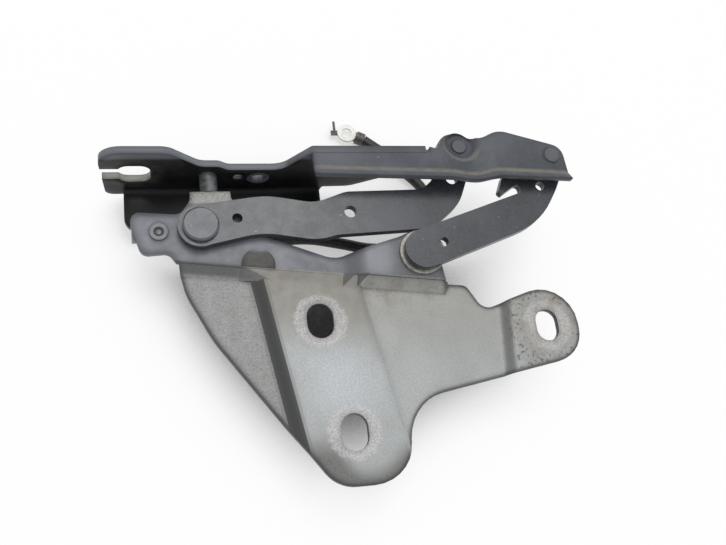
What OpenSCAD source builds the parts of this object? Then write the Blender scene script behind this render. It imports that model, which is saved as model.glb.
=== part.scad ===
// Four-bar bonnet hinge with an earth lead, shown closed.
// The pivots run along Z, X points to the rear of the car and Y points up in the car.
// The origin lies on the mounting face, midway between the two pad slots.

/* [Sheet metal] */
// Thickness of the base sheet
base_t = 3; // [2.5:0.1:3.5]
// Thickness of both links
link_t = 4; // [3.5:0.1:5]
// Thickness of the bonnet bracket sheet
bracket_t = 3.5; // [3:0.1:4]
// Inner bend radius of the bonnet bracket
bend_r = 1.25; // [1:0.25:3]

/* [Linkage] */
// Front ground pivot, ahead of the origin
front_pivot_ahead = 55; // [53:0.5:58]
// Front ground pivot, above the origin
front_pivot_up = 69.5; // [68:0.5:72]
// Rear ground pivot, behind the front one
ground_run = 100; // [97:0.5:103]
// Rear ground pivot, below the front one
ground_drop = 15.5; // [14:0.5:17]
// Front link from pivot to pivot, along X
front_link_run = 124.5; // [121:0.5:128]
// Front link from pivot to pivot, along Y
front_link_rise = 36.5; // [35:0.5:38]
// Rear link from pivot to pivot, along X
rear_link_run = 69.5; // [67:0.5:73]
// Rear link from pivot to pivot, along Y
rear_link_rise = 44.5; // [43:0.5:46]

/* [Link ends] */
// Radius of the front link at its ground pivot
front_end_r = 10; // [9.5:0.25:11]
// Radius of the front link at its bonnet pivot
front_tip_r = 9.5; // [9:0.25:10.5]
// Radius of the rear link at its ground pivot
rear_end_r = 9.3; // [8.8:0.1:10]
// Radius of the rear link at its bonnet pivot
rear_tip_r = 8; // [7.5:0.25:9]
// Radius of the weight and hanging holes in the links
link_hole_r = 2.3; // [1.8:0.1:2.6]

/* [Pivots] */
// Radius of the front ground rivet's shank
front_rivet_r = 5; // [4.5:0.1:5.5]
// Radius of the front ground rivet's head
front_head_r = 8; // [7.5:0.25:9]
// Radius of the rear ground pin
rear_pin_r = 5; // [4.5:0.1:5.5]
// Radius of the rear ground spacer ring
spacer_r = 10.8; // [9.5:0.1:11.5]
// Thickness of the rear ground spacer ring
spacer_t = 2; // [1.5:0.1:2.5]
// Radius of the rivet in the dished bonnet pivot
dish_rivet_r = 3.2; // [2.8:0.1:3.5]
// Radius of the front link's hole at the dished bonnet pivot
dish_hole_r = 6.8; // [6.5:0.1:7]
// Radius of the plain bonnet pivot's shoulder
bonnet_rivet_r = 4; // [3.6:0.1:4.4]
// Wall of the pivot bushes
bush_wall = 0.95; // [0.7:0.05:1.2]
// Thickness of the pivot washers
washer_t = 0.9; // [0.7:0.05:1.2]
// Radial running clearance of pins in bushes
running_gap = 0.05; // [0.03:0.01:0.08]
// Clearance between faces that slide past each other
face_gap = 0.1; // [0.1:0.05:0.2]
// Clearance between the two links
link_gap = 0.5; // [0.4:0.1:0.8]

/* [Base] */
// Width of the two pad slots
slot_w = 12; // [10:0.5:13]
// Length of the two pad slots
slot_l = 16; // [15:0.5:18]
// Half the distance between the pad slots, along X
slot_half_x = 5; // [4:0.5:6]
// Half the distance between the pad slots, along Y
slot_half_y = 25; // [23:0.5:27]
// Width of the ear slot
ear_slot_w = 11; // [9:0.5:12]
// Length of the ear slot
ear_slot_l = 15; // [13:0.5:16]
// Ear slot behind the origin
ear_slot_x = 102; // [101:0.5:103]
// Ear slot above the origin
ear_slot_y = 17; // [16:0.5:18]
// How far the pad stands proud of the front wing
pad_lift = 3; // [2:0.25:4]
// How far the arm lies below the pad
arm_drop = 1; // [0.5:0.25:2]
// How far the ear stands proud of the arm
ear_lift = 3; // [2:0.25:4]
// How far the pivot flange stands proud of the pad
flange_lift = 1; // [0.5:0.25:2]
// Width of the stop tab
stop_tab_w = 18; // [16:0.5:22]
// How far the stop tab's shelf reaches behind the flange
stop_shelf = 14; // [12.5:0.5:16]

/* [Bonnet bracket] */
// Reach of the fork ahead of the dished pivot
fork_reach = 168; // [165:0.5:172]
// Bonnet face below the dished pivot
bonnet_face_drop = 2; // [1.5:0.25:2.5]
// Depth of the bonnet flange behind the panel's front face
flange_depth = 41.5; // [40:0.5:44]
// Width of the fork's slot
fork_slot_w = 15.5; // [13:0.5:16]
// Width of the fork's mouth
fork_mouth_w = 9.8; // [9:0.1:11]
// Length of the fork's slot behind the mouth
fork_slot_l = 14.5; // [12:0.5:16]
// Radius of the dished pivot's flat
dish_r = 6.2; // [6:0.1:6.8]
// How far the panel's lip flares forwards
lip_flare = 3; // [2:0.25:4]
// How far the panel's tail stands proud
tail_rise = 1; // [0.5:0.1:1.5]
// Depth of the valley between the panel's dish and its tail
valley_depth = 1.2; // [0.8:0.1:1.6]
// Diameter of the stop pin
stop_pin_d = 8.2; // [7:0.1:9]

/* [Earth lead] */
// Diameter of the earth cable
cable_d = 5.6; // [5:0.1:6]
// Hole of the free ring terminal
ring_hole_d = 5.4; // [5.2:0.1:6]
// Outer diameter of the free ring terminal
ring_d = 9.8; // [9:0.1:11]
// Thickness of the terminals' sheet
terminal_t = 1.2; // [1:0.1:1.4]

/* [Hidden] */
$fn = 64;
far = 400;
through = 60;
arc_steps = 7;
ease_steps = 6;

// Pivot places in the XY plane
front_pivot = [-front_pivot_ahead, front_pivot_up];
rear_pivot = front_pivot + [ground_run, -ground_drop];
dish_pivot = front_pivot + [front_link_run, front_link_rise];
bonnet_pivot = rear_pivot + [rear_link_run, rear_link_rise];

// Levels along Z, each the back face of its layer
z_pad = 0;
z_wing = z_pad - pad_lift;
z_arm = z_pad - arm_drop;
z_ear = z_arm + ear_lift;
z_flange = z_pad + flange_lift;
z_front_link = z_flange + base_t + washer_t + face_gap;
z_front_face = z_front_link + link_t;
z_rear_link = z_front_face + link_gap;
z_rear_face = z_rear_link + link_t;
z_spacer = z_rear_link - face_gap - spacer_t;
z_joggle = z_spacer - base_t;
z_dish = z_front_face + face_gap + washer_t;
z_panel = z_rear_face + face_gap + washer_t;
z_panel_face = z_panel + bracket_t;
z_panel_tail = z_panel + tail_rise;
z_web = z_panel_face - flange_depth;

// Base
upper_slot = [-slot_half_x, slot_half_y];
lower_slot = [slot_half_x, -slot_half_y];
ear_slot = [ear_slot_x, ear_slot_y];
step_lean = 10;
ear_lean = -4.8;
arm_mid = 55;
fold_start = front_pivot + [-11, -15];
fold_end = rear_pivot + [11, -14];
fold_length = norm(fold_end - fold_start);
fold_way = (fold_end - fold_start) / fold_length;
fold_lean = atan2(fold_way[1], fold_way[0]);
fold_band = 4.2;
fold_lap = 1;
wing_fold = [-1, 28.5];
pad_fold = [42.5, 75];
arm_fold = 80.5;
wing_step = [-27.2, -18.8];
arm_step = [20.8, 23.3];
ear_step = [78, 83.2];
joggle_x = [front_pivot[0] + 63, rear_pivot[0] - 26];
dart_along = 35.6;
dart_mid = 2;
dart_base = 0.4;
dart_r = 7.6;
dart_rim = 0.8;
dart_depth = 1.15;
dart_lean = 8;
stop_tab_mid = front_pivot[0] + 5.5;
stop_tab_bend_r = 2;
stop_gap = 0.3;
stop_pin_l = 10.3;

// Bonnet bracket
bonnet_face_y = dish_pivot[1] - bonnet_face_drop;
flange_under_y = bonnet_face_y - bracket_t;
fork_x = dish_pivot[0] - fork_reach;
fork_mid_z = z_panel_face - 20.7;
fork_near_z = z_panel_face - 0.7;
fork_throat_x = fork_x + 8.5;
fork_lean = 2.4;
prong_l = 30.5;
neck_start = 45;
neck_step = 53.5;
neck_end = 58;
panel_left = dish_pivot[0] - 73;
web_left = fork_x + 10.5;
web_right = dish_pivot[0] - 63.5;
flange_right = dish_pivot[0] - 16;
lip_fold_y = dish_pivot[1] - 13;
lip_drop = 4.4;
lip_root = 5;
lip_fall = 0.035;
dish_run = 2.6;
dish_rim = 1;
stop_shelf_y = flange_under_y - stop_pin_l - stop_gap;

// The panel's wave: places along X, each with how far the lip and the sheet lie off their line
wave_left = [dish_pivot[0] - 9.5, 0, 0];
wave_low = [dish_pivot[0] + 4, -0.6, -valley_depth];
wave_right = [dish_pivot[0] + 17, 0.9, tail_rise];
panel_wave = concat(
    [[panel_left - 10, 0, 0]], eased(wave_left, wave_low), eased(wave_low, wave_right, 1),
    [[dish_pivot[0] + 70, 0, tail_rise]]
);

// Pivot hardware
press_gap = 0.02;
head_t = 2.4;
tail_t = 2.4;
tail_over = 2.5;
blind_seat = 2.5;
button_t = 0.6;
button_over = 0.5;

// Earth lead
earth_hole = front_pivot + [-18, -0.7];
earth_tube_r = 3.1;
earth_bore_r = 2.3;
earth_head_r = 4.2;
earth_head_t = 0.8;
earth_dip = 1.1;
lug_r = 5.5;
lug_w = 7;
lug_end = 11.6;
lug_step = [4.5, 7.5];
lug_drop = 5.6;
barrel_wall = 0.6;
barrel_l = 8;
barrel_r = cable_d / 2 + barrel_wall;
fixed_barrel_z = z_flange - terminal_t - lug_drop;
fixed_barrel_x = earth_hole[0] + 6.5;
ring_at = [25.8, 136.3, -28];
ring_lean = -25.5;
ring_neck = 5.2;
ring_barrel_l = 4.5;
cable_sides = 10;

// The cable's middle line, from the fixed terminal to the free one
cable_free_end = ring_at + (ring_neck + ring_barrel_l) * [cos(ring_lean), sin(ring_lean), 0];
cable_fixed_end = [fixed_barrel_x + barrel_l, earth_hole[1], fixed_barrel_z + terminal_t / 2];
cable_points = concat(
    [cable_fixed_end],
    [
        [-45, 69, -8], [-30, 71, -15], [-15, 74.5, -23], [0, 76.5, -27.5], [15, 74, -28],
        [32, 70.5, -28], [47, 71.5, -28], [58, 77, -28], [65, 86, -28], [66, 96, -28],
        [62, 105, -28], [54, 114, -28], [47, 122, -28]
    ],
    [cable_free_end]
);

// A corner of an outline: a place measured from a pivot or slot, and the radius that rounds it
function from(p, dx, dy, r = 0) = [p[0] + dx, p[1] + dy, r];

// A corner of an outline, measured along and across the fold of the base
function on_fold(along, across, r = 0) =
    from(fold_start + along * fold_way + across * [-fold_way[1], fold_way[0]], 0, 0, r);

// One rounded corner of an outline between its neighbours
function corner(a, b, c) =
    let (
        u = [a[0] - b[0], a[1] - b[1]] / norm([a[0] - b[0], a[1] - b[1]]),
        v = [c[0] - b[0], c[1] - b[1]] / norm([c[0] - b[0], c[1] - b[1]]),
        half = acos(max(-1, min(1, u * v))) / 2,
        mid = (u + v) / norm(u + v),
        middle = [b[0], b[1]] + mid * b[2] / sin(half),
        turn = 90 - half,
        side = u[0] * v[1] - u[1] * v[0] > 0 ? -1 : 1,
        back = atan2(-mid[1], -mid[0])
    )
    b[2] == 0 ? [[b[0], b[1]]] :
    [for (i = [0 : arc_steps]) let (a = back + side * turn * (2 * i / arc_steps - 1))
        middle + b[2] * [cos(a), sin(a)]];

// An outline with its corners rounded
function rounded(pts) = let (n = len(pts))
    [for (i = [0 : n - 1]) each corner(pts[(i + n - 1) % n], pts[i], pts[(i + 1) % n])];

// The section of a sheet whose back face follows a line of points
function sheet_section(line, t) =
    concat(line, [for (i = [len(line) - 1 : -1 : 0]) line[i] + [0, t]]);

// The points of a soft step from one place to another, even along X and eased in the rest
function eased(a, b, first = 0) = [for (i = [first : ease_steps]) let (t = i / ease_steps)
    [for (k = [0 : len(a) - 1]) a[k] + (k == 0 ? t : t * t * (3 - 2 * t)) * (b[k] - a[k])]];

// A formed sheet: a section in XZ, drawn out along Y
module formed(line, t) {
    rotate([90, 0, 0])
        linear_extrude(height = far, center = true)
            polygon(sheet_section(line, t));
}

// A tall block with a rounded outline, to trim formed sheets
module trim(pts) {
    linear_extrude(height = far, center = true) polygon(rounded(pts));
}

// A cylinder or ring between two levels
module disc(at, r, z0, z1, bore = 0) {
    translate([at[0], at[1], z0])
        difference() {
            cylinder(r = r, h = z1 - z0);
            if (bore > 0)
                translate([0, 0, -1]) cylinder(r = bore, h = z1 - z0 + 2);
        }
}

// A round cut right through the sheets
module drill(at, r) {
    translate([at[0], at[1], -through / 2]) cylinder(r = r, h = through);
}

// A slot along Y, cut right through
module slot(at, w, l) {
    for (side = [-1, 1])
        translate([0, side * (l - w) / 2]) drill(at, w / 2);
    translate([at[0] - w / 2, at[1] - (l - w) / 2, -through / 2])
        cube([w, l - w, through]);
}

// Base: outline of the plate below the fold
module plate_outline() {
    trim([
        on_fold(2.2, -fold_band, 0.5), from(lower_slot, -67.3, 65.5, 30), from(lower_slot, -56.5, 44, 60),
        from(lower_slot, -9.5, -22.6, 16), from(lower_slot, 23, -22.6, 18),
        from(lower_slot, 26.5, 11.8, 22), from(ear_slot, 15.8, -15, 15),
        from(ear_slot, 15.8, 23.8, 17), from(ear_slot, -29, 9.6, 6),
        from(rear_pivot, 21, -15, 4), on_fold(fold_length, 0, 0.5), on_fold(fold_length - 0.6, -fold_band)
    ]);
}

// Base: outline of the pivot flange above the fold
module flange_outline() {
    trim([
        on_fold(0, 0), from(front_pivot, -14.2, -10.4, 4), from(front_pivot, -25.6, -11.2, 4),
        from(front_pivot, -30.3, 4, 6), from(front_pivot, -28.5, 9, 3.5), from(front_pivot, -8.5, 7.4, 5),
        [stop_tab_mid - stop_tab_w / 2 + 0.5, stop_shelf_y - 5, 0],
        [stop_tab_mid + stop_tab_w / 2, stop_shelf_y - 5, 0],
        from(front_pivot, 19, 6, 6), from(front_pivot, 30, -4.5, 20),
        from(front_pivot, 59, -16, 14), from(rear_pivot, -10, 8.3, 12),
        from(rear_pivot, -1, 12, 9), from(rear_pivot, 7.5, 6, 8), on_fold(fold_length - 1.2, 0)
    ]);
}

// Base: sheet that climbs from one level to another across the fold, over a stretch along it
module fold_ramp(low, high, stretch) {
    translate([fold_start[0], fold_start[1], 0]) rotate([0, 0, fold_lean])
        translate([stretch[0], 0, 0]) rotate([90, 0, 90])
            linear_extrude(height = stretch[1] - stretch[0])
                polygon(sheet_section([[-fold_band - fold_lap, low], [fold_lap, high]], base_t));
}

// Base: the whole sheet across the fold, twisting where the flange joggles
module fold() {
    joggle_start = pad_fold[1];
    joggle_end = joggle_start + joggle_x[1] - joggle_x[0];
    z_between = z_flange + (z_joggle - z_flange) * (arm_fold - joggle_start) / (joggle_end - joggle_start);
    intersection() {
        union() {
            fold_ramp(z_wing, z_flange, wing_fold);
            hull() {
                fold_ramp(z_wing, z_flange, [wing_fold[1] - 1, wing_fold[1]]);
                fold_ramp(z_pad, z_flange, [pad_fold[0], pad_fold[0] + 1]);
            }
            fold_ramp(z_pad, z_flange, pad_fold);
            hull() {
                fold_ramp(z_pad, z_flange, [joggle_start - 1, joggle_start]);
                fold_ramp(z_pad, z_between, [arm_fold - 0.5, arm_fold]);
            }
            hull() {
                fold_ramp(z_arm, z_between, [arm_fold - 0.3, arm_fold + 0.2]);
                fold_ramp(z_arm, z_joggle, [joggle_end, joggle_end + 1]);
            }
            fold_ramp(z_arm, z_joggle, [joggle_end, fold_length]);
        }
        trim([
            on_fold(0.4, 3), on_fold(2.8, -fold_band - 3),
            on_fold(fold_length + 0.4, -fold_band - 3), on_fold(fold_length + 0.4, -0.8),
            on_fold(fold_length - 2, 0.3), on_fold(fold_length - 2.3, 3)
        ]);
    }
}

// Base: stop tab, bent back from the top of the flange into a shelf
module stop_tab() {
    bend_out = stop_tab_bend_r + base_t;
    bend_y = stop_shelf_y - bend_out;
    bend_z = z_flange - stop_tab_bend_r;
    x0 = stop_tab_mid - stop_tab_w / 2;
    translate([x0, bend_y, bend_z])
        intersection() {
            rotate([0, 90, 0]) difference() {
                cylinder(r = bend_out, h = stop_tab_w);
                translate([0, 0, -1]) cylinder(r = stop_tab_bend_r, h = stop_tab_w + 2);
            }
            cube([stop_tab_w, bend_out, bend_out]);
        }
    translate([x0, stop_shelf_y - base_t, bend_z - stop_shelf + bend_out])
        cube([stop_tab_w, base_t, stop_shelf - bend_out]);
}

// Base: half-round block on the dart's sloping floor, cut off flat along the fold
module dart_block(r, low, high) {
    at = on_fold(dart_along, dart_mid);
    translate([at[0], at[1], z_flange + base_t - dart_depth]) rotate([0, 0, fold_lean])
        intersection() {
            rotate([dart_lean, 0, 0]) translate([0, 0, low]) cylinder(r = r, h = high - low);
            translate([-far / 2, dart_base - dart_mid, -far / 2]) cube(far);
        }
}

module base_bracket() {
    color("slategray") difference() {
        union() {
            dart_block(dart_r + dart_rim, -base_t, -0.5);
            intersection() {
                union() {
                    rotate([0, 0, step_lean])
                        formed(concat(
                            [[-far / 2, z_wing]], eased([wing_step[0], z_wing], [wing_step[1], z_pad]),
                            eased([arm_step[0], z_pad], [arm_step[1], z_arm]), [[arm_mid, z_arm]]
                        ), base_t);
                    rotate([0, 0, ear_lean])
                        formed(concat(
                            [[arm_mid - 20, z_arm]], eased([ear_step[0], z_arm], [ear_step[1], z_ear]),
                            [[far / 2, z_ear]]
                        ), base_t);
                }
                plate_outline();
            }
            intersection() {
                formed([
                    [-far / 2, z_flange], [joggle_x[0], z_flange],
                    [joggle_x[1], z_joggle], [far / 2, z_joggle]
                ], base_t);
                flange_outline();
            }
            fold();
            stop_tab();
        }
        dart_block(dart_r, 0, 2 * base_t);
        slot(upper_slot, slot_w, slot_l);
        slot(lower_slot, slot_w, slot_l);
        slot(ear_slot, ear_slot_w, ear_slot_l);
        drill(front_pivot, front_rivet_r + press_gap);
        drill(rear_pivot, rear_pin_r + running_gap + bush_wall + press_gap);
        drill(earth_hole, earth_tube_r + press_gap);
    }
}

module front_link() {
    a = front_pivot;
    d = dish_pivot;
    color("dimgray") difference() {
        union() {
            disc(a, front_end_r, z_front_link, z_front_face);
            disc(d, front_tip_r, z_front_link, z_front_face);
            translate([0, 0, z_front_link]) linear_extrude(height = link_t)
                polygon(rounded([
                    from(a, 0, -front_end_r), from(a, 27, -4, 40), from(a, 52, -8.5, 25),
                    from(a, 61, -6, 20), from(d, -17.5, -40.2, 16), from(d, -2.5, -28, 22),
                    from(d, front_tip_r, -1), from(d, -front_tip_r, 0), from(d, -13.5, -14.5, 10),
                    from(d, -20, -20.3, 8), from(a, 67, 15.5, 14), from(a, 52, 10, 18),
                    from(a, 30, 14, 40), from(a, 0, front_end_r)
                ]));
        }
        drill(a, front_rivet_r + running_gap + bush_wall + press_gap);
        drill(d, dish_hole_r);
        drill(a + [16.2, 3.1], link_hole_r);
        drill(a + [68.2, 5.3], link_hole_r + 0.6);
        drill(d + [-4.5, -14.8], link_hole_r + 0.6);
    }
}

module rear_link() {
    b = rear_pivot;
    c = bonnet_pivot;
    color("dimgray") difference() {
        union() {
            disc(b, rear_end_r, z_rear_link, z_rear_face);
            disc(c, rear_tip_r, z_rear_link, z_rear_face);
            translate([0, 0, z_rear_link]) linear_extrude(height = link_t)
                polygon(rounded([
                    from(b, 3, -rear_end_r + 0.5), from(c, -10, -33.3, 40), from(c, 4, -12.5, 50),
                    from(c, rear_tip_r, -1), from(c, -0.5 * rear_tip_r, 0.86 * rear_tip_r),
                    from(c, -25, -8, 8), from(c, -28.6, -16.5, 1.2), from(c, -27, -18.2, 0.7),
                    from(c, -17.4, -11.9, 1.7), from(c, -16.8, -17, 1.4), from(b, -3, rear_end_r - 0.5)
                ]));
        }
        disc(b, rear_pin_r + press_gap, z_rear_link - 1, z_rear_link + blind_seat);
        drill(c, bonnet_rivet_r + running_gap + bush_wall + press_gap);
        drill(b + [9.5, 2.9], link_hole_r);
        drill(c + [-6.4, -13.9], link_hole_r);
    }
}

// Bonnet bracket: plan of the bonnet flange, with X across and Z up the page
module bonnet_flange() {
    near_z = fork_near_z;
    translate([0, bonnet_face_y, 0]) rotate([90, 0, 0])
        linear_extrude(height = bracket_t) difference() {
            polygon(rounded([
                [fork_x, near_z, 10], [fork_x + fork_lean, z_web, 4], [web_right, z_web, 1.5],
                [web_right + 1, z_web + 6, 1], [dish_pivot[0] - 49, z_web + 6.5, 10],
                [dish_pivot[0] - 31, z_web + 17.5, 14], [flange_right - 2.5, z_panel - 3, 8],
                [flange_right - 2.5, z_panel_face, 0], [panel_left, z_panel_face, 2],
                [panel_left - 12, fork_near_z - 16.8, 9], [fork_x + neck_end, fork_near_z - 16.8, 5],
                [fork_x + neck_step, fork_near_z - 13.4, 4], [fork_x + neck_start, fork_near_z - 13.4, 8],
                [fork_x + prong_l, near_z, 9]
            ]));
            polygon(rounded([
                [fork_throat_x, fork_mid_z + fork_slot_w / 2, 5],
                [fork_throat_x, fork_mid_z - fork_slot_w / 2, 5],
                [fork_throat_x + fork_slot_l, fork_mid_z - fork_slot_w / 2, 5],
                [fork_throat_x + fork_slot_l, fork_mid_z + fork_slot_w / 2, 5]
            ]));
            translate([fork_x - 1, fork_mid_z - fork_mouth_w / 2])
                square([fork_throat_x - fork_x + 6, fork_mouth_w]);
            translate([dish_pivot[0] - 105, z_panel_face - 24.4]) circle(r = 2.4);
            translate([dish_pivot[0] - 95.3, z_panel_face - 25.6]) circle(r = 3.3);
            translate([stop_tab_mid, stop_pin_z()]) circle(r = stop_pin_d / 4 + 0.5);
        }
}
function stop_pin_z() = z_flange - stop_tab_bend_r - stop_pin_d / 2 + 0.2;

// Bonnet bracket: back web, folded down from the flange
module back_web() {
    out_r = bracket_t + bend_r;
    intersection() {
        translate([web_left, 0, 0]) rotate([90, 0, 90])
            linear_extrude(height = web_right - web_left)
                polygon(rounded([
                    [bonnet_face_y, z_web, out_r], [bonnet_face_y, z_web + 12, 0],
                    [flange_under_y, z_web + 12, 0], [flange_under_y, z_web + bracket_t, bend_r],
                    [bonnet_face_y - 40, z_web + bracket_t, 0], [bonnet_face_y - 40, z_web, 0]
                ]));
        trim([
            [web_left, bonnet_face_y + 5, 0], [web_left, bonnet_face_y - 22, 6],
            [web_left + 6, bonnet_face_y - 23.5, 3], [web_right, bonnet_face_y - 14, 3],
            [web_right, bonnet_face_y + 5, 0]
        ]);
    }
}

// Bonnet bracket: outline of the folded panel, with its boss at the dished pivot
module panel_outline() {
    c = bonnet_pivot;
    d = dish_pivot;
    trim([
        [panel_left, bonnet_face_y + 1, 0], [panel_left + 1, lip_fold_y - 30, 0], from(c, 8.5, -30),
        from(c, 6, 4.5, 7), from(c, -25.5, 13.6, 12), from(d, 8.5, 1.5, 7), from(d, 0, 8.2, 7),
        from(d, -9, 3, 4), from(d, -12.6, -3.6, 1.5), [flange_right - 4.6, bonnet_face_y + 1, 0]
    ]);
}

// Bonnet bracket: sheet of the panel with its wave, from some depth below its back face
module panel_sheet(below = 0) {
    formed([for (p = panel_wave) [p[0], z_panel + p[2] - below]], bracket_t + below);
}

// Bonnet bracket: lip flared forwards along the foot of the panel
module panel_lip() {
    section = [
        [-lip_drop, lip_flare + bracket_t], [0, bracket_t], [lip_root, bracket_t], [lip_root, 0], [0, 0],
        [-lip_drop, lip_flare]
    ];
    n = len(section);
    last = len(panel_wave) - 1;
    points = [for (p = panel_wave, s = section)
        [p[0], lip_fold_y - lip_fall * (p[0] - panel_left) + p[1] + s[0], z_panel + p[2] + s[1]]];
    walls = [for (i = [0 : last - 1], k = [0 : n - 1])
        let (next = (k + 1) % n) [i * n + k, i * n + next, (i + 1) * n + next, (i + 1) * n + k]];
    start = [for (k = [n - 1 : -1 : 0]) k];
    end = [for (k = [0 : n - 1]) last * n + k];
    polyhedron(points, concat(walls, [start], [end]));
}

// Bonnet bracket: panel folded down from the flange
module folded_panel() {
    out_r = bracket_t + bend_r;
    intersection() {
        union() {
            translate([panel_left - 1, 0, 0]) rotate([90, 0, 90])
                linear_extrude(height = flange_right - panel_left + 1)
                    polygon(rounded([
                        [bonnet_face_y, z_panel_face, out_r], [bonnet_face_y, z_panel - 6, 0],
                        [flange_under_y, z_panel - 6, 0], [flange_under_y, z_panel, bend_r],
                        [lip_fold_y, z_panel, 0], [lip_fold_y, z_panel_face, 0]
                    ]));
            panel_lip();
            intersection() {
                panel_sheet();
                translate([flange_right - 0.4, lip_fold_y, -far / 2]) cube(far);
            }
        }
        panel_outline();
    }
}

// Bonnet bracket: pressed dish around the front bonnet pivot
module pivot_dish() {
    slope = z_panel - z_dish;
    foot = dish_r + dish_rim;
    intersection() {
        translate([dish_pivot[0], dish_pivot[1], z_dish])
            rotate_extrude()
                polygon([
                    [0, 0], [foot, 0], [foot + dish_run, slope], [foot + dish_run, slope + bracket_t],
                    [dish_r + dish_run, slope + bracket_t], [dish_r, bracket_t], [0, bracket_t]
                ]);
        panel_sheet(through);
        panel_outline();
    }
}

module bonnet_bracket() {
    color("slategray") difference() {
        union() {
            bonnet_flange();
            back_web();
            difference() {
                folded_panel();
                translate([dish_pivot[0], dish_pivot[1], z_dish])
                    cylinder(r = dish_r + dish_run + dish_rim / 2, h = through);
            }
            pivot_dish();
        }
        drill(dish_pivot, dish_rivet_r + press_gap);
        drill(bonnet_pivot, bonnet_rivet_r - button_over + press_gap);
    }
}

module front_pivot_rivet() {
    z_head = z_front_face + face_gap;
    color("gray") {
        translate([front_pivot[0], front_pivot[1], 0]) rotate_extrude()
            polygon([
                [0, z_flange - tail_t], [front_rivet_r + tail_over - 1, z_flange - tail_t],
                [front_rivet_r + tail_over, z_flange - tail_t + 1], [front_rivet_r + tail_over, z_flange],
                [front_rivet_r, z_flange], [front_rivet_r, z_head], [front_head_r, z_head],
                [front_head_r, z_head + 0.7 * head_t], [front_head_r - 0.8, z_head + head_t],
                [0, z_head + head_t]
            ]);
    }
}

// A plain bush: a sleeve that turns on a pin
module bush(at, pin_r, z0, z1) {
    disc(at, pin_r + running_gap + bush_wall, z0, z1, pin_r + running_gap);
}

module front_pivot_bush() {
    color("peru") bush(front_pivot, front_rivet_r, z_front_link, z_front_face);
}

module front_pivot_washer() {
    color("silver")
        disc(front_pivot, front_head_r + 1, z_flange + base_t, z_flange + base_t + washer_t,
             front_rivet_r + running_gap);
}

module rear_pivot_pin() {
    z_tail = z_joggle - face_gap - washer_t;
    color("gray") union() {
        disc(rear_pivot, rear_pin_r, z_tail - 0.5, z_rear_link + blind_seat);
        disc(rear_pivot, rear_pin_r + tail_over, z_tail - tail_t, z_tail);
    }
}

module rear_pivot_bush() {
    color("peru") bush(rear_pivot, rear_pin_r, z_joggle, z_joggle + base_t);
}

module rear_pivot_spacer() {
    color("lightgray") disc(rear_pivot, spacer_r, z_spacer, z_spacer + spacer_t, rear_pin_r + running_gap);
}

module rear_pivot_washer() {
    color("silver")
        disc(rear_pivot, rear_pin_r + tail_over + 1, z_joggle - face_gap - washer_t, z_joggle - face_gap,
             rear_pin_r + press_gap);
}

// A rivet with a low button on the bonnet side and a flat tail behind
module bonnet_side_rivet(at, shank_r, neck_r, z_tail, z_seat, z_face) {
    translate([at[0], at[1], 0]) rotate_extrude()
        polygon([
            [0, z_tail - tail_t], [shank_r + tail_over, z_tail - tail_t], [shank_r + tail_over, z_tail],
            [shank_r, z_tail], [shank_r, z_seat], [neck_r, z_seat], [neck_r, z_face],
            [neck_r + button_over, z_face], [neck_r + button_over - 0.3, z_face + button_t],
            [0, z_face + button_t]
        ]);
}

module dish_pivot_rivet() {
    color("gray")
        bonnet_side_rivet(dish_pivot, dish_rivet_r, dish_rivet_r, z_front_link - face_gap - washer_t,
                          z_dish, z_dish + bracket_t);
}

module dish_pivot_washer() {
    color("silver") disc(dish_pivot, front_tip_r - 0.5, z_dish - washer_t, z_dish, dish_rivet_r + press_gap);
}

module dish_pivot_backing() {
    color("silver")
        disc(dish_pivot, front_tip_r, z_front_link - face_gap - washer_t, z_front_link - face_gap,
             dish_rivet_r + press_gap);
}

module bonnet_pivot_rivet() {
    color("gray")
        bonnet_side_rivet(bonnet_pivot, bonnet_rivet_r, bonnet_rivet_r - button_over,
                          z_rear_link - face_gap, z_panel_tail, z_panel_tail + bracket_t);
}

module bonnet_pivot_bush() {
    color("peru") bush(bonnet_pivot, bonnet_rivet_r, z_rear_link, z_rear_face);
}

module bonnet_pivot_washer() {
    color("silver")
        disc(bonnet_pivot, rear_tip_r, z_panel - washer_t, z_panel_tail, bonnet_rivet_r + press_gap);
}

module stop_pin() {
    color("darkgray") translate([stop_tab_mid, flange_under_y, stop_pin_z()]) rotate([-90, 0, 0])
        rotate_extrude()
            polygon([
                [0, -stop_pin_l], [stop_pin_d / 2 - 0.6, -stop_pin_l], [stop_pin_d / 2, -stop_pin_l + 0.6],
                [stop_pin_d / 2, 0], [stop_pin_d / 4 + 0.45, 0], [stop_pin_d / 4 + 0.45, bracket_t],
                [0, bracket_t]
            ]);
}

module earth_rivet() {
    z_top = z_flange + base_t + earth_head_t;
    z_back = z_flange - terminal_t;
    color("lightsteelblue") translate([earth_hole[0], earth_hole[1], 0]) rotate_extrude()
        polygon([
            [0, z_back - earth_head_t], [earth_head_r, z_back - earth_head_t], [earth_head_r, z_back],
            [earth_tube_r, z_back], [earth_tube_r, z_flange + base_t], [earth_head_r, z_flange + base_t],
            [earth_head_r - 0.3, z_top], [earth_bore_r, z_top], [earth_bore_r - 0.4, z_top - earth_dip],
            [0.5 * earth_bore_r, z_top - 0.5 * earth_dip], [0, z_top - 0.4 * earth_dip]
        ]);
}

// The crimped barrel of a terminal, along X from its own origin
module barrel(l) {
    rotate([0, 90, 0]) cylinder(r = barrel_r, h = l);
}

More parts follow.
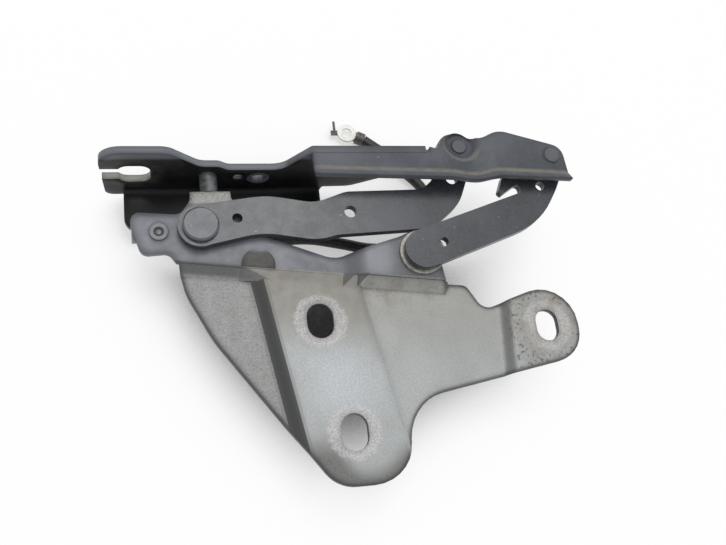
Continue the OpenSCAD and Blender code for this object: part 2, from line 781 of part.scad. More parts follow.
module fixed_terminal() {
    z_lug = z_flange - terminal_t;
    color("silver") difference() {
        union() {
            disc(earth_hole, lug_r, z_lug, z_flange);
            translate([earth_hole[0] - lug_end, earth_hole[1] - lug_w / 2, z_lug])
                cube([lug_end, lug_w, terminal_t]);
            intersection() {
                translate([earth_hole[0], 0, 0])
                    formed([
                        [0, z_lug], [lug_step[0], z_lug], [lug_step[1], z_lug - lug_drop],
                        [lug_step[1] + 4, z_lug - lug_drop]
                    ], terminal_t);
                translate([earth_hole[0], earth_hole[1] - lug_w / 2, -far / 2]) cube([20, lug_w, far]);
            }
            translate([fixed_barrel_x, earth_hole[1], cable_fixed_end[2]]) barrel(barrel_l);
        }
        drill(earth_hole, earth_tube_r + press_gap);
    }
}

module free_terminal() {
    ring_r = ring_d / 2;
    tab = [4.6, 2.4];
    prong = [1.1, 5.4];
    color("silver") difference() {
        union() {
            translate([ring_at[0], ring_at[1], ring_at[2] - terminal_t / 2]) {
                cylinder(r = ring_r, h = terminal_t);
                translate([-ring_r - tab[0] + 1.1, -1, 0]) cube([tab[0], tab[1], terminal_t]);
                translate([-ring_r - tab[0] + 2.6, -1, 0]) cube([prong[0], tab[1] + prong[1], terminal_t]);
                rotate([0, 0, ring_lean]) translate([0, -2.6, 0]) cube([ring_neck + 1, 5.2, terminal_t]);
            }
            translate(ring_at) rotate([0, 0, ring_lean]) translate([ring_neck, 0, 0]) barrel(ring_barrel_l);
        }
        translate([ring_at[0], ring_at[1], ring_at[2] - 5]) cylinder(d = ring_hole_d, h = 10);
    }
}

// Earth cable: direction of the middle line at each of its points
function cable_way(i) =
    let (
        n = len(cable_points) - 1,
        along = i == 0 ? [1, 0, 0] :
            i == n ? -[cos(ring_lean), sin(ring_lean), 0] :
            cable_points[i + 1] - cable_points[i - 1]
    )
    along / norm(along);

module earth_cable() {
    rings = len(cable_points);
    points = [for (i = [0 : rings - 1])
        let (w = cable_way(i), side = cross(w, [0, 0, 1]) / norm(cross(w, [0, 0, 1])), up = cross(side, w))
        for (k = [0 : cable_sides - 1]) let (a = 360 * k / cable_sides)
            cable_points[i] + cable_d / 2 * (cos(a) * side + sin(a) * up)];
    walls = [for (i = [0 : rings - 2], k = [0 : cable_sides - 1])
        let (next = (k + 1) % cable_sides, here = i * cable_sides, there = here + cable_sides)
        [here + k, here + next, there + next, there + k]];
    start = [for (k = [cable_sides - 1 : -1 : 0]) k];
    end = [for (k = [0 : cable_sides - 1]) (rings - 1) * cable_sides + k];
    color("black") polyhedron(points, concat(walls, [start], [end]));
}

base_bracket();
front_link();
rear_link();
bonnet_bracket();
front_pivot_rivet();
front_pivot_bush();
front_pivot_washer();
rear_pivot_pin();
rear_pivot_bush();
rear_pivot_spacer();
rear_pivot_washer();
dish_pivot_rivet();
dish_pivot_washer();
dish_pivot_backing();
bonnet_pivot_rivet();
bonnet_pivot_bush();
bonnet_pivot_washer();
stop_pin();
earth_rivet();
fixed_terminal();
earth_cable();
free_terminal();
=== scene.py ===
"""Dresses the bonnet hinge: camera, earth lead, materials, floor and light."""
import math

import bpy
from mathutils import Matrix, Vector


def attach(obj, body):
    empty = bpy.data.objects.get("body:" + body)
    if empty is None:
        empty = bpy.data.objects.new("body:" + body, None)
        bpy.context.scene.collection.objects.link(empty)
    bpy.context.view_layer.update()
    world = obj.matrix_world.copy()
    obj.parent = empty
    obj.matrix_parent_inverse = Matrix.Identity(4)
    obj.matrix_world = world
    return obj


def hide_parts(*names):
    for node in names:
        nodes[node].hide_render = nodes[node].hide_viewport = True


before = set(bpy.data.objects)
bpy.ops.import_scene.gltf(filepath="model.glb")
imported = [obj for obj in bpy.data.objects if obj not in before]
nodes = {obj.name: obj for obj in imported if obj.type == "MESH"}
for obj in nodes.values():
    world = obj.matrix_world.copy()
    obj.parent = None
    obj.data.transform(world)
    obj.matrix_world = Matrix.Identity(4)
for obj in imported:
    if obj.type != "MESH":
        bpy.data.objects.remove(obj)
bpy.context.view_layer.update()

# The photograph's frame, and the camera that stood for it
IMAGE_WIDTH = 726
FOCAL_PIXELS = 850
SENSOR_WIDTH = 36
CAMERA_CLIP = 0.01
CAMERA_AT = (-0.07838, -0.08050, 0.35731)
CAMERA_RIGHT = (0.9687, -0.1167, 0.2190)
CAMERA_UP = (0.0346, 0.9374, 0.3465)
CAMERA_BACK = (-0.2457, -0.3281, 0.9122)

# The earth lead, from the fixed terminal to the free one, in metres
CABLE_DIAMETER = 0.0056
CABLE_ROUTE = [
    (-0.0585, 0.0688, -0.0052), (-0.045, 0.069, -0.008), (-0.030, 0.071, -0.015),
    (-0.015, 0.0745, -0.023), (0.0, 0.0765, -0.0275), (0.015, 0.074, -0.028),
    (0.032, 0.0705, -0.028), (0.047, 0.0715, -0.028), (0.058, 0.077, -0.028),
    (0.065, 0.086, -0.028), (0.066, 0.096, -0.028), (0.062, 0.105, -0.028),
    (0.054, 0.114, -0.028), (0.047, 0.122, -0.028), (0.03456, 0.13212, -0.028),
]

# Places on the base that its finish depends on, in metres; pairs are where a tone starts and is full
UPPER_SLOT = (-0.005, 0.025, 0)
LOWER_SLOT = (0.005, -0.025, 0)
EAR_SLOT = (0.102, 0.017, 0)
SLOTS = (UPPER_SLOT, LOWER_SLOT, EAR_SLOT)
SLOT_CLEAR = (0.0102, 0.0115)
WASHER_MARK = 0.0128
WASHER_EDGE = 0.0016
WASHER_RAGGED = 0.0010
WASHER_RING = 0.0011
FOLD_AT = (-0.066, 0.0545, 0)
FOLD_ACROSS = (0.118, 0.993, 0)
FOLD_BAND = 0.0042
FOLD_RIDGE = 0.0008
FOLD_END_X = 0.056
FOLD_WING = (-0.042, -0.030)
FOLD_DIRT_DEPTH = 0.022
FOLD_DIRT_X = (-0.040, -0.022, FOLD_END_X - 0.012, FOLD_END_X + 0.004)
DART_AT = (-0.0304, 0.0523, 0)
DART_RADIUS = 0.0076
DART_FLOOR = (0.0036, 0.0039)
# Painted shade in the flange's joggle hollow, a painted highlight on its crest and painted shade by the
# rear pivot
JOGGLE_PAINTED_SHADE = (0.005, 0.011, 0.014, 0.019)
JOGGLE_PAINTED_HIGHLIGHT = (0.017, 0.022, 0.025, 0.032)
REAR_PAINTED_SHADE = (0.028, 0.038)
STEP_ACROSS = (0.9848, 0.1736, 0)
# The pad step's left-facing face gets painted shade, weaker towards the arm
SLOPE_FACING = (-0.40, -0.06)
SLOPE_FADES_X = (0.050, 0.070)
PAD_LEFT = -0.0235
PAD_RIGHT = 0.0220
PAD_BROWN = (-0.042, -0.014)
# The pad's middle, and how far its painted highlight reaches
PAD_MIDDLE = (0.001, -0.002, 0)
PAD_PAINTED_HIGHLIGHT = (0.002, 0.027)
PAD_CORNER_STEP = (0.008, 0.020)
PAD_CORNER_ACROSS = (-0.078, -0.092)
# The pad's lower end, where painted shade darkens the rim
LOBE_AT = (0.0115, -0.0300, 0)
LOBE_SHADE = (0.0085, 0.0175)
LOBE_ACROSS = (-0.084, -0.070)
EAR_LINE = 0.081
EAR_PITS = (0.0120, 0.0140)
# Above this the stop tab is bare metal with a painted highlight
TAB_FOOT = 0.082
# How far the painted shade along the base's edges and creases reaches
RIM_WIDTH = 0.0048
RIM_LEAN = (0.82, 0.999)

# Places on the bonnet bracket
FLANGE_UNDER = 0.1006
FLANGE_HOLE = (-0.0258, 0, -0.0076)
FLANGE_HOLE_BARE = (0.0050, 0.0056)
FORK_AT = (-0.0827, 0, -0.0027)
FORK_RUBBED = (0.0125, 0.0150)
FORK_SLOT_HALF = (0.0080, 0.0086)
FORK_SLOT_END = (-0.0735, -0.0730)
PANEL_BACK = 0.010
PANEL_BEND = 0.0135
PANEL_FACE = 0.018
PANEL_LEFT = -0.004
# Where the panel's left end gets a painted highlight
PANEL_HIGHLIGHT_X = (0.004, 0.030)
# The lip's bend and the dish's lower rim carry dust and a painted highlight
LIP_AT = (-0.0035, 0.093, 0)
LIP_ACROSS = (0.0349, 0.9994, 0)
LIP_WAVE = ((0.060, 0.0735, -0.0006), (0.0735, 0.0865, 0.0015), (0.0865, 0.1395, -0.0009))
LIP_DUST_AND_HIGHLIGHT = (0.0004, 0.0018)
DISH_AT = (0.0695, 0.106, 0)
DISH_INSIDE = (0.0066, 0.0080)
DISH_RIM = (0.0094, 0.0102)
DISH_DUST_AND_HIGHLIGHT_Y = (0.100, 0.106)
BRACKET_ROLL = 0.004

# The free terminal's ring
RING_AT = (0.0258, 0.1363, 0)
RING_RADIUS = 0.0049

# Looks that several finishes share
COAT_GLOSS = 0.64
BRACKET_GLOSS = 0.28
BUMP_DEPTH = 0.0002
PATCH_RANGE = (0.3, 0.7)
AROUND_Y = (1, 0, 1)
AROUND_Z = (1, 1, 0)

# Floor and light
FLOOR_SIZE = 6
FLOOR_LEVEL = -0.0316
FLOOR_REACH = 0.12
# Behind this the floor gets no painted shadow
FLOOR_SHADE_Y = 0.060
FLOOR_WHITE = 0.92
WHITE = (1, 1, 1, 1)
WORLD_LIGHT = 0.74
LAMP_WATTS = 2.3
LAMP_SIZE = 0.42
LAMP_WAY = (0.05, 0.38, 0.92)

# Bare and plated metal: nodes, name, dull and bright tone, roughness, grain and width of the rolled edges
WASHERS = [
    "front_pivot_washer", "rear_pivot_washer", "dish_pivot_washer", "dish_pivot_backing",
    "bonnet_pivot_washer",
]
BUSHES = ["front_pivot_bush", "rear_pivot_bush", "bonnet_pivot_bush"]
METALS = [
    (["rear_pivot_pin"], "pin_steel", (112, 112, 112), (146, 146, 144), 0.43, 0.002, 0.0003),
    (["stop_pin"], "stop_steel", (84, 86, 88), (114, 116, 118), 0.48, 0.002, 0.0003),
    (BUSHES, "bush_bronze", (132, 98, 62), (168, 130, 86), 0.38, 0.003, 0.0001),
    (WASHERS, "washer_steel", (116, 116, 114), (150, 150, 146), 0.43, 0.002, 0.0001),
    (["rear_pivot_spacer"], "spacer_steel", (138, 136, 128), (168, 166, 158), 0.42, 0.002, 0.0003),
    (["fixed_terminal"], "lug_plate", (98, 99, 97), (132, 133, 130), 0.45, 0.003, 0.0002),
]


def to_linear(level):
    """A screen level, 0 to 255, as linear light."""
    share = level / 255
    if level < 10.3:
        return share / 12.92
    return ((share + 0.055) / 1.055) ** 2.4


def tone(red, green, blue):
    """A colour as it looks on a screen, 0 to 255, as Blender's linear colour."""
    return (to_linear(red), to_linear(green), to_linear(blue), 1)


class Graph:
    """A material's nodes, with short names for what the finishes are built from."""

    def __init__(self, name, gloss=0.5):
        self.material = bpy.data.materials.new(name)
        self.material.use_nodes = True
        self.tree = self.material.node_tree
        self.shader = self.tree.nodes["Principled BSDF"]
        self.shader.inputs["Specular IOR Level"].default_value = gloss
        texture = self.add("ShaderNodeTexCoord")
        self.place = texture.outputs["Object"]
        self.facing = texture.outputs["Normal"]
        self.rolled = None

    def add(self, kind, **settings):
        node = self.tree.nodes.new(kind)
        for name, value in settings.items():
            setattr(node, name, value)
        return node

    def feed(self, socket, value):
        if isinstance(value, bpy.types.NodeSocket):
            self.tree.links.new(value, socket)
        else:
            socket.default_value = value

    def math(self, operation, a, b=0.0):
        node = self.add("ShaderNodeMath", operation=operation)
        self.feed(node.inputs[0], a)
        self.feed(node.inputs[1], b)
        return node.outputs[0]

    def both(self, a, b):
        return self.math("MULTIPLY", a, b)

    def either(self, a, b):
        return self.math("MAXIMUM", a, b)

    def size_of(self, value):
        return self.math("ABSOLUTE", value)

    def span(self, value, low, high, start=0.0, end=1.0):
        """Goes smoothly from start to end while a value goes from low to high."""
        node = self.add("ShaderNodeMapRange", interpolation_type="SMOOTHSTEP")
        self.feed(node.inputs["Value"], value)
        node.inputs["From Min"].default_value = low
        node.inputs["From Max"].default_value = high
        node.inputs["To Min"].default_value = start
        node.inputs["To Max"].default_value = end
        return node.outputs["Result"]

    def fall(self, value, low, high, top=1.0):
        return self.span(value, low, high, top, 0.0)

    def band(self, value, edges, top=1.0):
        """Rises over the first two edges and falls over the last two."""
        start, full, hold, end = edges
        return self.both(self.span(value, start, full), self.fall(value, hold, end, top))

    def noise(self, size, detail=3.0, roughness=0.55):
        node = self.add("ShaderNodeTexNoise")
        self.feed(node.inputs["Vector"], self.place)
        node.inputs["Scale"].default_value = 1 / size
        node.inputs["Detail"].default_value = detail
        node.inputs["Roughness"].default_value = roughness
        return node.outputs["Fac"]

    def patches(self, size, start=0.0, end=1.0, detail=3.0):
        """Soft patches of a size, between two values."""
        return self.span(self.noise(size, detail), *PATCH_RANGE, start, end)

    def axes(self, vector):
        node = self.add("ShaderNodeSeparateXYZ")
        self.feed(node.inputs[0], vector)
        return node.outputs

    def across(self, at, way):
        """How far a place lies from a point, along a direction."""
        node = self.add("ShaderNodeVectorMath", operation="DOT_PRODUCT")
        self.feed(node.inputs[0], self.place)
        node.inputs[1].default_value = way
        return self.math("SUBTRACT", node.outputs["Value"], Vector(at).dot(Vector(way)))

    def distance(self, at, keep):
        """How far a place lies from an axis: keep is 1 across the axis and 0 along it."""
        flat = self.add("ShaderNodeVectorMath", operation="MULTIPLY")
        self.feed(flat.inputs[0], self.place)
        flat.inputs[1].default_value = keep
        gap = self.add("ShaderNodeVectorMath", operation="DISTANCE")
        self.feed(gap.inputs[0], flat.outputs["Vector"])
        gap.inputs[1].default_value = at
        return gap.outputs["Value"]

    def near(self, at, inner, outer, keep=AROUND_Z):
        """1 within a distance of an axis and 0 outside a wider one."""
        return self.fall(self.distance(at, keep), inner, outer)

    def beyond(self, at, inner, outer, keep=AROUND_Z):
        """0 within a distance of an axis and 1 outside a wider one."""
        return self.span(self.distance(at, keep), inner, outer)

    def mix(self, share, a, b):
        node = self.add("ShaderNodeMix", data_type="RGBA")
        self.feed(node.inputs[0], share)
        self.feed(node.inputs[6], a)
        self.feed(node.inputs[7], b)
        return node.outputs[2]

    def lay(self, colour, mask, amount, over):
        """Lays a colour over another where a mask says, as strongly as amount."""
        return self.mix(self.both(mask, amount), colour, over)

    def roll(self, radius):
        """Bends shade softly, as pressed sheet does, over a radius."""
        node = self.add("ShaderNodeBevel", samples=8)
        node.inputs["Radius"].default_value = radius
        self.rolled = node.outputs["Normal"]

    def rim(self, radius, low, high):
        """1 along the edges and 0 on the flat, from how far a rolled edge leans."""
        self.roll(radius)
        lean = self.add("ShaderNodeVectorMath", operation="DOT_PRODUCT")
        self.feed(lean.inputs[0], self.rolled)
        self.feed(lean.inputs[1], self.add("ShaderNodeNewGeometry").outputs["True Normal"])
        return self.fall(lean.outputs["Value"], low, high)

    def bump(self, height, strength):
        node = self.add("ShaderNodeBump")
        if self.rolled:
            self.feed(node.inputs["Normal"], self.rolled)
        self.feed(node.inputs["Height"], height)
        node.inputs["Strength"].default_value = strength
        node.inputs["Distance"].default_value = BUMP_DEPTH
        self.feed(self.shader.inputs["Normal"], node.outputs["Normal"])

    def finish(self, colour, roughness, metallic=0.0):
        self.feed(self.shader.inputs["Base Color"], colour)
        self.feed(self.shader.inputs["Roughness"], roughness)
        self.feed(self.shader.inputs["Metallic"], metallic)
        return self.material


def coat(g, dark, light):
    """Satin dip coat: clouded, finely mottled, with a few pale nicks."""
    cloud = g.span(g.noise(0.022), 0.35, 0.68)
    grain = g.patches(0.0011, detail=2.0)
    nicks = g.span(g.noise(0.0024, 1.0), 0.765, 0.79)
    shade = g.mix(cloud, dark, light)
    shade = g.lay(shade, grain, 0.18, tone(104, 107, 112))
    return g.lay(shade, nicks, 0.5, tone(150, 150, 146))


def coat_roughness(g):
    return g.patches(0.006, 0.27, 0.35)


def link_finish():
    """The links: clouded coat on the faces, darker on the cut edges."""
    g = Graph("link_coat", COAT_GLOSS)
    face = g.span(g.size_of(g.axes(g.facing)[2]), 0.5, 0.8)
    faces = coat(g, tone(43, 47, 52), tone(59, 63, 69))
    colour = g.mix(face, tone(40, 42, 45), faces)
    g.bump(g.noise(0.0009, 2.0), 0.12)
    return g.finish(colour, coat_roughness(g))


def lip_dust_and_highlight(g, x, y, z):
    """Dust that has settled in the bend above the lip, and round the dish's lower rim, with a painted
    highlight along both.
    """
    fold = g.across(LIP_AT, LIP_ACROSS)
    for start, end, rise in LIP_WAVE:
        fold = g.math("SUBTRACT", fold, g.span(x, start, end, 0.0, rise))
    patchy = g.span(g.noise(0.006), 0.2, 0.6, 0.4, 1.0)
    line = g.both(g.fall(g.size_of(fold), *LIP_DUST_AND_HIGHLIGHT), patchy)
    inside = g.near(DISH_AT, *DISH_INSIDE)
    rim = g.both(g.near(DISH_AT, *DISH_RIM), g.math("SUBTRACT", 1.0, inside))
    low = g.both(rim, g.fall(y, *DISH_DUST_AND_HIGHLIGHT_Y, 0.6))
    return g.both(g.either(line, low), g.span(z, PANEL_FACE - 0.0035, PANEL_FACE - 0.0022))


def fork_wall_wear_and_highlight(g, x, z):
    """The fork slot's walls, worn to bare metal by the bolt and made paler by a painted highlight."""
    wall = g.fall(g.size_of(g.axes(g.facing)[1]), 0.35, 0.65)
    off_middle = g.size_of(g.math("SUBTRACT", z, FORK_AT[2]))
    inside = g.both(g.fall(off_middle, *FORK_SLOT_HALF), g.fall(x, *FORK_SLOT_END))
    worn = g.span(g.noise(0.004), 0.25, 0.6, 0.2, 0.6)
    return g.both(g.both(wall, inside), worn)


def bracket_coat_and_painted_light(g, x, y, z):
    """The bracket's coat, with a painted highlight on the flange's near cut edge and at the panel's left
    end.
    """
    colour = coat(g, tone(70, 73, 80), tone(88, 91, 98))
    # Painted highlight on the flange's near cut edge
    edge = g.both(g.span(g.axes(g.facing)[2], 0.5, 0.8), g.fall(x, PANEL_LEFT - 0.001, PANEL_LEFT))
    edge = g.both(edge, g.span(y, FLANGE_UNDER - 0.0004, FLANGE_UNDER))
    colour = g.mix(edge, colour, tone(116, 119, 125))
    # Painted highlight at the panel's left end
    left = g.both(g.fall(x, *PANEL_HIGHLIGHT_X, 0.5), g.span(z, PANEL_BACK, PANEL_BACK + 0.002))
    return g.mix(left, colour, tone(100, 103, 110))


def bracket_finish():
    """The bonnet bracket: coat, with painted shade making it nearly black under the flange, and dust with
    a painted highlight in the lip's bend.
    """
    g = Graph("bracket_coat_and_painted_light", BRACKET_GLOSS)
    g.roll(BRACKET_ROLL)
    x, y, z = g.axes(g.place)
    colour = bracket_coat_and_painted_light(g, x, y, z)
    # Painted shade: the flange's underside made nearly black
    low = g.fall(y, FLANGE_UNDER, FLANGE_UNDER + 0.0002)
    under = g.both(low, g.fall(z, PANEL_BACK, PANEL_BEND))
    painted_under_shade = g.mix(g.span(g.noise(0.012), 0.35, 0.7), tone(12, 12, 13), tone(24, 25, 27))
    colour = g.mix(under, colour, painted_under_shade)
    bare = g.both(g.near(FLANGE_HOLE, *FLANGE_HOLE_BARE, AROUND_Y), under)
    colour = g.lay(colour, bare, 0.8, tone(100, 102, 112))
    rubbed = g.both(g.near(FORK_AT, *FORK_RUBBED, AROUND_Y), g.span(g.noise(0.004), 0.35, 0.6))
    colour = g.lay(colour, rubbed, 0.12, tone(104, 100, 92))
    # Bare wear and a painted highlight on the fork slot's walls
    colour = g.mix(fork_wall_wear_and_highlight(g, x, z), colour, tone(168, 164, 152))
    # Dust and a painted highlight in the lip's bend and on the dish's lower rim
    colour = g.lay(colour, lip_dust_and_highlight(g, x, y, z), 0.6, tone(140, 134, 120))
    g.bump(g.noise(0.0009, 2.0), 0.12)
    return g.finish(colour, g.patches(0.006, 0.36, 0.46))


def slot_marks(g):
    """Round rubbed marks that the bolts' washers left round the three slots, scored in rings."""
    ragged = g.span(g.noise(0.003), 0.2, 0.8, -WASHER_RAGGED, WASHER_RAGGED)
    marks = 0.0
    for at in SLOTS:
        reach = g.math("ADD", g.distance(at, AROUND_Z), ragged)
        rings = g.add("ShaderNodeTexNoise", noise_dimensions="1D")
        g.feed(rings.inputs["W"], reach)
        rings.inputs["Scale"].default_value = 1 / WASHER_RING
        scored = g.span(rings.outputs["Fac"], 0.35, 0.62, 0.5, 1.0)
        mark = g.both(g.fall(reach, WASHER_MARK - WASHER_EDGE, WASHER_MARK), scored)
        marks = g.either(marks, mark)
    return marks


def pad_coat(g, cloud, across):
    """The pad: a painted highlight in its middle, painted shade round its lower end and brown towards the
    fold.
    """
    colour = g.mix(cloud, tone(164, 167, 166), tone(180, 184, 185))
    # Painted highlight in the pad's middle
    colour = g.lay(colour, g.near(PAD_MIDDLE, *PAD_PAINTED_HIGHLIGHT), 0.85, tone(198, 203, 208))
    # Painted shade round the pad's lower end
    painted_lobe_shade = g.both(g.beyond(LOBE_AT, *LOBE_SHADE), g.fall(across, *LOBE_ACROSS, 0.9))
    colour = g.mix(painted_lobe_shade, colour, tone(72, 70, 66))
    return g.lay(colour, g.span(across, *PAD_BROWN), 0.85, tone(126, 122, 111))


def arm_coat(g, cloud, across):
    """The arm: a plain grey that turns a little brown towards the fold."""
    colour = g.mix(cloud, tone(162, 166, 165), tone(176, 180, 179))
    return g.lay(colour, g.span(across, *PAD_BROWN), 0.4, tone(150, 143, 130))


def front_tone(g, step, across):
    """The plate's plain front: speckled wing, pad and arm, side by side."""
    speckle = g.span(g.noise(0.0010, 3.0, 0.75), 0.34, 0.66)
    cloud = g.patches(0.024)
    wing = g.mix(speckle, tone(116, 117, 117), tone(154, 154, 152))
    on_pad = g.span(step, PAD_LEFT - 0.001, PAD_LEFT + 0.006)
    colour = g.mix(on_pad, wing, pad_coat(g, cloud, across))
    on_arm = g.span(step, PAD_RIGHT - 0.001, PAD_RIGHT + 0.001)
    colour = g.mix(on_arm, colour, arm_coat(g, cloud, across))
    return g.lay(colour, speckle, 0.4, tone(136, 137, 135))


def plate_tone(g, x, step, across):
    """The plate's front with its rubbed marks, brown dirt and the ear's pits."""
    colour = front_tone(g, step, across)
    sparkle = g.span(g.noise(0.0007, 3.0, 0.75), 0.36, 0.64)
    rubbed = g.mix(sparkle, tone(152, 149, 150), tone(224, 221, 221))
    colour = g.lay(colour, slot_marks(g), 0.65, rubbed)
    on_ear = g.span(x, EAR_LINE, EAR_LINE + 0.004)
    fold = g.both(g.span(across, -FOLD_DIRT_DEPTH, -FOLD_BAND), g.band(x, FOLD_DIRT_X))
    corner = g.both(g.span(step, *PAD_CORNER_STEP), g.span(across, *PAD_CORNER_ACROSS))
    dirty = g.either(g.either(fold, corner), g.both(on_ear, 0.8))
    dirt = g.both(dirty, g.span(g.noise(0.008, 5.0, 0.65), 0.40, 0.68))
    colour = g.lay(colour, dirt, 0.55, tone(118, 108, 90))
    outer = g.both(on_ear, g.beyond(EAR_SLOT, *EAR_PITS))
    pits = g.both(outer, g.span(g.noise(0.0018, 4.0, 0.7), 0.55, 0.62))
    return g.lay(colour, pits, 0.8, tone(66, 60, 52))


def fold_band(g, x, across):
    """The shaded band under the flange's fold: darkest over the wing."""
    band = g.span(across, -FOLD_BAND - 0.0010, -FOLD_BAND + 0.0012)
    over_wing = g.span(x, *FOLD_WING, 0.85, 0.08)
    short = g.fall(x, FOLD_END_X, FOLD_END_X + 0.003)
    return g.both(g.both(band, over_wing), short)


def dart_floor_dark(g, z, across):
    """The dart's floor, dark brown."""
    pocket = g.near(DART_AT, DART_RADIUS - 0.0002, DART_RADIUS + 0.0001)
    floor = g.both(pocket, g.fall(z, *DART_FLOOR))
    return g.both(floor, g.span(across, 0.0002, 0.0006))


def flange_coat_and_painted_light(g, x):
    """The flange: coat, with painted shade in the joggle's hollow, a painted highlight on its crest and
    painted shade by the rear pivot.
    """
    colour = coat(g, tone(94, 97, 104), tone(118, 121, 128))
    colour = g.mix(g.band(x, JOGGLE_PAINTED_SHADE, 0.6), colour, tone(60, 61, 66))
    colour = g.mix(g.band(x, JOGGLE_PAINTED_HIGHLIGHT, 0.5), colour, tone(142, 145, 152))
    return g.mix(g.span(x, *REAR_PAINTED_SHADE, 0.0, 0.5), colour, tone(74, 75, 78))


def base_edge_shade(g):
    """Painted shade along the base's edges and in its creases, apart from those of the slots."""
    rim = g.rim(RIM_WIDTH, *RIM_LEAN)
    for slot in SLOTS:
        rim = g.both(rim, g.beyond(slot, *SLOT_CLEAR))
    return rim


def base_finish():
    """The base: worn pale coat on the plate's front, dark on the flange and the back, with painted shade
    along the rims and on the step, and painted light on the joggle and the tab.
    """
    g = Graph("base_coat_and_painted_light", COAT_GLOSS)
    x, y, z = g.axes(g.place)
    facing = g.axes(g.facing)
    across = g.across(FOLD_AT, FOLD_ACROSS)
    step = g.across((0, 0, 0), STEP_ACROSS)
    colour = plate_tone(g, x, step, across)
    # Painted shade on the pad step's left-facing face, weaker towards the arm
    painted_slope_shade = g.both(g.fall(facing[0], *SLOPE_FACING, 0.94), g.span(x, *SLOPE_FADES_X, 1.0, 0.6))
    colour = g.mix(painted_slope_shade, colour, tone(24, 25, 28))
    colour = g.mix(fold_band(g, x, across), colour, tone(74, 75, 76))
    # Painted shade along the edges and in the creases
    colour = g.lay(colour, base_edge_shade(g), 0.85, tone(66, 66, 66))
    colour = g.mix(g.fall(facing[2], 0.45, 0.85), colour, tone(60, 61, 62))
    flange = g.span(across, FOLD_RIDGE - 0.0004, FOLD_RIDGE + 0.0004)
    flange = g.both(flange, g.fall(x, FOLD_END_X, FOLD_END_X + 0.001))
    # The flange: its coat, with painted shade and a painted highlight on the joggle
    colour = g.mix(flange, colour, flange_coat_and_painted_light(g, x))
    dart_floor_colour = g.mix(g.patches(0.002), tone(40, 38, 33), tone(58, 55, 48))
    colour = g.mix(dart_floor_dark(g, z, across), colour, dart_floor_colour)
    # The stop tab: bare metal with a painted highlight where its bend faces the light
    bright = g.mix(g.patches(0.0010, detail=2.0), tone(130, 131, 127), tone(170, 170, 165))
    colour = g.mix(g.span(y, TAB_FOOT, TAB_FOOT + 0.001), colour, bright)
    g.bump(g.noise(0.0008, 2.0, 0.7), 0.2)
    return g.finish(colour, g.patches(0.005, 0.36, 0.48))


def rivet_finish(name, dark, light):
    g = Graph(name, COAT_GLOSS)
    g.bump(g.noise(0.0012, 2.0), 0.15)
    return g.finish(coat(g, dark, light), coat_roughness(g))


def metal_finish(name, dull, bright, rough, grain):
    """Bare or plated metal: mottled, with a roughness that wanders."""
    g = Graph(name)
    colour = g.mix(g.patches(grain, detail=4.0), dull, bright)
    g.bump(g.noise(grain / 4, 2.0), 0.15)
    return g.finish(colour, g.patches(grain * 2, rough - 0.07, rough + 0.07), 0.6)


def ring_finish():
    """The free terminal: bright tin on the ring, sooty on its tab and crimp."""
    g = Graph("tin_plate")
    bright = g.mix(g.patches(0.003, detail=4.0), tone(222, 220, 212), tone(243, 242, 237))
    sooty = g.mix(g.patches(0.002), tone(58, 56, 52), tone(96, 94, 90))
    ring = g.near(RING_AT, RING_RADIUS - 0.0002, RING_RADIUS + 0.0004)
    g.bump(g.noise(0.0008, 2.0), 0.15)
    return g.finish(g.mix(ring, sooty, bright), g.patches(0.006, 0.30, 0.44), 0.2)


def cable_finish():
    """The lead's black sleeve, a little dusty."""
    g = Graph("cable_sleeve")
    colour = g.mix(g.patches(0.006), tone(22, 22, 23), tone(42, 42, 42))
    dust = g.span(g.noise(0.0018), 0.62, 0.74)
    colour = g.lay(colour, dust, 0.35, tone(96, 94, 88))
    g.bump(g.noise(0.0015, 2.0), 0.2)
    return g.finish(colour, g.patches(0.004, 0.38, 0.52))


def make_camera():
    data = bpy.data.cameras.new("camera")
    data.sensor_width = SENSOR_WIDTH
    data.lens = FOCAL_PIXELS / IMAGE_WIDTH * SENSOR_WIDTH
    data.clip_start = CAMERA_CLIP
    camera = bpy.data.objects.new("camera", data)
    bpy.context.scene.collection.objects.link(camera)
    turn = Matrix((CAMERA_RIGHT, CAMERA_UP, CAMERA_BACK)).transposed().to_quaternion()
    camera.rotation_mode = "QUATERNION"
    camera.rotation_quaternion = turn
    camera.location = CAMERA_AT
    bpy.context.scene.camera = camera


def cable_curve():
    """One smooth curve along the route, as thick as the lead."""
    curve = bpy.data.curves.new("earth_lead", "CURVE")
    curve.dimensions = "3D"
    curve.bevel_depth = CABLE_DIAMETER / 2
    curve.bevel_resolution = 6
    curve.resolution_u = 10
    curve.use_fill_caps = True
    spline = curve.splines.new("BEZIER")
    spline.bezier_points.add(len(CABLE_ROUTE) - 1)
    for point, at in zip(spline.bezier_points, CABLE_ROUTE):
        point.co = at
        point.handle_left_type = "AUTO"
        point.handle_right_type = "AUTO"
    return curve


def make_cable():
    """The earth lead, laid on the floor behind the hinge."""
    curve = cable_curve()
    lead = bpy.data.objects.new("earth_lead", curve)
    bpy.context.scene.collection.objects.link(lead)
    curve.materials.append(cable_finish())
    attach(lead, "base")
    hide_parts("earth_cable")


def soften(node, width):
    """Rolls a node's sharp edges, as pressing and tumbling leave them."""
    weld = node.modifiers.new("weld", "WELD")
    weld.merge_threshold = 0.000002
    bevel = node.modifiers.new("rolled_edges", "BEVEL")
    bevel.width = width
    bevel.segments = 3
    bevel.limit_method = "ANGLE"
    bevel.angle_limit = math.radians(24)
    normals = node.modifiers.new("normals", "WEIGHTED_NORMAL")
    normals.keep_sharp = True


def dress(names, material, width):
    """Gives nodes their material and rolled edges of a width."""
    for name in names:
        node = nodes[name]
        node.data.materials.clear()
        node.data.materials.append(material)
        soften(node, width)


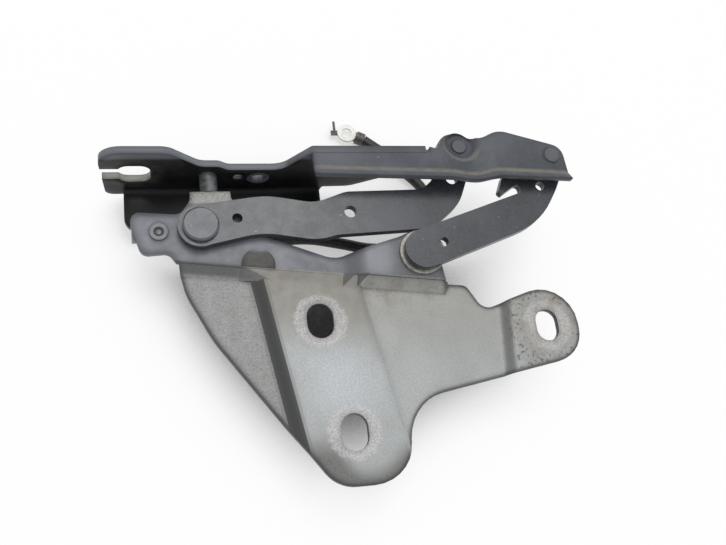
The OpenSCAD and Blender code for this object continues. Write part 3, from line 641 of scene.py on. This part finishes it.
def seen_directly(tree):
    """1 for the rays that show a surface as it is: from the camera, gloss or clear things."""
    ray = tree.nodes.new("ShaderNodeLightPath").outputs
    seen = ray["Is Camera Ray"]
    for name in ("Is Glossy Ray", "Is Transmission Ray"):
        either = tree.nodes.new("ShaderNodeMath")
        either.operation = "MAXIMUM"
        tree.links.new(seen, either.inputs[0])
        tree.links.new(ray[name], either.inputs[1])
        seen = either.outputs[0]
    return seen


def mix_shaders(g, share, a, b):
    node = g.add("ShaderNodeMixShader")
    g.feed(node.inputs[0], share)
    g.feed(node.inputs[1], a)
    g.feed(node.inputs[2], b)
    return node.outputs["Shader"]


def floor_as_seen(g):
    """The floor that shows: white in the open, shaded near the hinge, and with a painted shadow that
    turns its colour dark grey deep under its pad, in front of FLOOR_SHADE_Y.
    """
    sky = g.add("ShaderNodeAmbientOcclusion", samples=16)
    sky.inputs["Distance"].default_value = FLOOR_REACH
    open_sky = sky.outputs["AO"]
    behind = g.span(g.axes(g.place)[1], FLOOR_SHADE_Y - 0.008, FLOOR_SHADE_Y + 0.008)
    lit = g.either(g.span(open_sky, 0.16, 0.56), behind)
    # Painted shadow: the floor's colour turns dark grey where the hinge hides the sky
    shaded = g.add("ShaderNodeBsdfDiffuse")
    g.feed(shaded.inputs["Color"], g.mix(lit, tone(70, 70, 72), WHITE))
    white = g.add("ShaderNodeEmission")
    open_floor = g.either(g.span(open_sky, 0.25, 0.88), g.both(behind, 0.5))
    share = g.both(open_floor, FLOOR_WHITE)
    return mix_shaders(g, share, shaded.outputs["BSDF"], white.outputs["Emission"])


def make_floor():
    bpy.ops.mesh.primitive_plane_add(size=FLOOR_SIZE, location=(0, 0, FLOOR_LEVEL))
    floor = bpy.context.object
    floor.name = "floor"
    g = Graph("pale_floor_with_painted_shadow")
    colour = g.mix(g.patches(0.05), tone(246, 247, 246), tone(251, 252, 251))
    floor.data.materials.append(g.finish(colour, 0.6))
    surface = mix_shaders(g, seen_directly(g.tree), g.shader.outputs["BSDF"], floor_as_seen(g))
    g.feed(g.tree.nodes["Material Output"].inputs["Surface"], surface)


def make_world():
    """An even white room: white where it is seen, and a plain soft light elsewhere."""
    world = bpy.data.worlds.new("soft_room")
    world.use_nodes = True
    tree = world.node_tree
    background = tree.nodes["Background"]
    background.inputs["Color"].default_value = WHITE
    strength = tree.nodes.new("ShaderNodeMapRange")
    strength.inputs["To Min"].default_value = WORLD_LIGHT
    strength.inputs["To Max"].default_value = 1.0
    tree.links.new(seen_directly(tree), strength.inputs["Value"])
    tree.links.new(strength.outputs["Result"], background.inputs["Strength"])
    bpy.context.scene.world = world


def make_lamp():
    data = bpy.data.lights.new("window", "AREA")
    data.shape = "SQUARE"
    data.size = LAMP_SIZE
    data.energy = LAMP_WATTS
    lamp = bpy.data.objects.new("window", data)
    way = Vector(LAMP_WAY).normalized()
    lamp.location = way
    lamp.rotation_mode = "QUATERNION"
    lamp.rotation_quaternion = way.to_track_quat("Z", "Y")
    bpy.context.scene.collection.objects.link(lamp)


def dress_all():
    dress(["front_link", "rear_link"], link_finish(), 0.0005)
    dress(["bonnet_bracket"], bracket_finish(), 0.0004)
    dress(["base_bracket"], base_finish(), 0.0010)
    rivet_coat = rivet_finish("rivet_coat", tone(66, 69, 76), tone(82, 85, 92))
    dress(["front_pivot_rivet", "dish_pivot_rivet", "bonnet_pivot_rivet"], rivet_coat, 0.0003)
    earth_coat = rivet_finish("earth_coat", tone(80, 82, 86), tone(102, 104, 108))
    dress(["earth_rivet"], earth_coat, 0.0002)
    for names, label, dull, bright, rough, grain, width in METALS:
        dress(names, metal_finish(label, tone(*dull), tone(*bright), rough, grain), width)
    dress(["free_terminal"], ring_finish(), 0.0002)


make_camera()
make_cable()
dress_all()
make_floor()
make_world()
make_lamp()
bpy.context.scene.view_settings.view_transform = "Standard"
